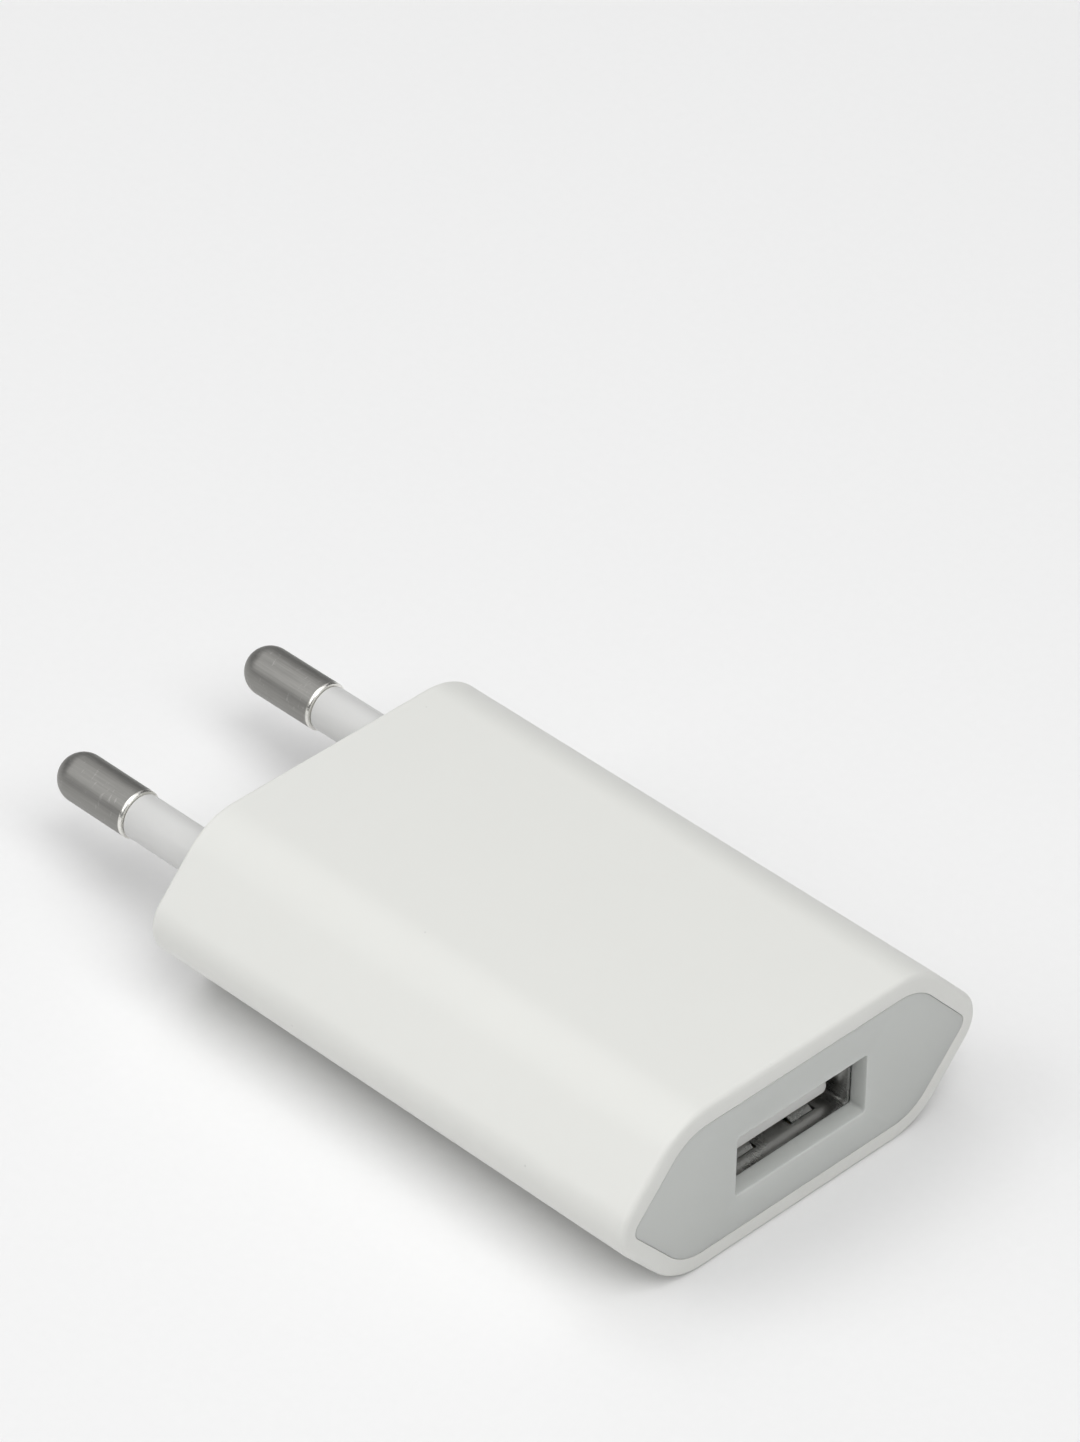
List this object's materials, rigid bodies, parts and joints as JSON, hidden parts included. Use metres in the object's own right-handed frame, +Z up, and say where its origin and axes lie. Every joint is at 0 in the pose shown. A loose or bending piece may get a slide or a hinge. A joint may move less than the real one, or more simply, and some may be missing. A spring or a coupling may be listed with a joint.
{
  "type": "usb wall charger",
  "caption": "Slim six-sided white mains charger with two round pins at one end and a USB-A outlet in a flush grey plate at the other.",
  "frame": {"origin": "under the middle of the outer box, pins included, on the surface that the charger lies on", "axes": "+X lengthwise from the pin tips towards the USB outlet, +Y across the width, +Z up through the thin direction"},
  "size_m": [0.0666, 0.036, 0.0146],
  "materials": {
    "case_plastic": "smooth white, soft gloss",
    "front_plastic": "fine satin light grey",
    "pin_metal": "nickel plate, polished",
    "sleeve_plastic": "smooth white, soft gloss",
    "block_plastic": "ivory heat-resistant plastic",
    "terminal_brass": "stamped brass",
    "board_laminate": "green resist on woven laminate",
    "insulation_paper": "pressed insulating sheet",
    "fuse_lacquer": "dipped lacquer",
    "tinned_wire": "tin plate",
    "black_epoxy": "moulded epoxy",
    "can_aluminium": "drawn aluminium",
    "input_wrap_film": "shrunk film",
    "output_wrap_film": "shrunk film",
    "bung_rubber": "moulded rubber",
    "ferrite": "pressed ferrite",
    "copper_enamel": "enamelled copper wire",
    "insulated_wire": "insulated winding wire",
    "tape_film": "polyester tape",
    "bobbin_plastic": "moulded phenolic",
    "blue_epoxy": "dipped epoxy",
    "shell_steel": "nickel-plated sheet",
    "tongue_plastic": "moulded white plastic",
    "contact_gold": "gold-plated spring alloy",
    "chip_black_ceramic": "glazed ceramic",
    "chip_tan_ceramic": "fired ceramic",
    "solder": "bright solder"
  },
  "bodies": {
    "root": {"housing": "case_plastic", "face_plate": "front_plastic", "pin_left": "pin_metal", "pin_right": "pin_metal", "pin_sleeve_left": "sleeve_plastic", "pin_sleeve_right": "sleeve_plastic", "pin_block": "block_plastic", "terminal_left": "terminal_brass", "terminal_right": "terminal_brass", "main_board": "board_laminate", "insulation_sheet": "insulation_paper", "fuse_resistor": "fuse_lacquer", "fuse_leads": "tinned_wire", "bridge_rectifier": "black_epoxy", "bridge_legs": "tinned_wire", "input_can_left": "can_aluminium", "input_can_right": "can_aluminium", "input_wrap_left": "input_wrap_film", "input_wrap_right": "input_wrap_film", "input_bung_left": "bung_rubber", "input_bung_right": "bung_rubber", "input_cap_leads": "tinned_wire", "choke_core": "ferrite", "choke_winding": "copper_enamel", "choke_leads": "tinned_wire", "transformer_core_rear": "ferrite", "transformer_core_front": "ferrite", "transformer_bobbin": "bobbin_plastic", "primary_winding": "copper_enamel", "secondary_winding": "insulated_wire", "winding_tape": "tape_film", "core_band": "tape_film", "transformer_pins": "tinned_wire", "safety_capacitor": "blue_epoxy", "safety_capacitor_leads": "tinned_wire", "control_chip": "black_epoxy", "control_chip_legs": "tinned_wire", "output_diode": "black_epoxy", "output_diode_tabs": "tinned_wire", "output_can_left": "can_aluminium", "output_can_right": "can_aluminium", "output_wrap_left": "output_wrap_film", "output_wrap_right": "output_wrap_film", "output_bungs": "bung_rubber", "output_cap_leads": "tinned_wire", "usb_shell": "shell_steel", "usb_insulator": "tongue_plastic", "usb_contacts": "contact_gold", "chip_resistors": "chip_black_ceramic", "chip_capacitors": "chip_tan_ceramic", "solder_joints": "solder"}
  },
  "joints": []
}
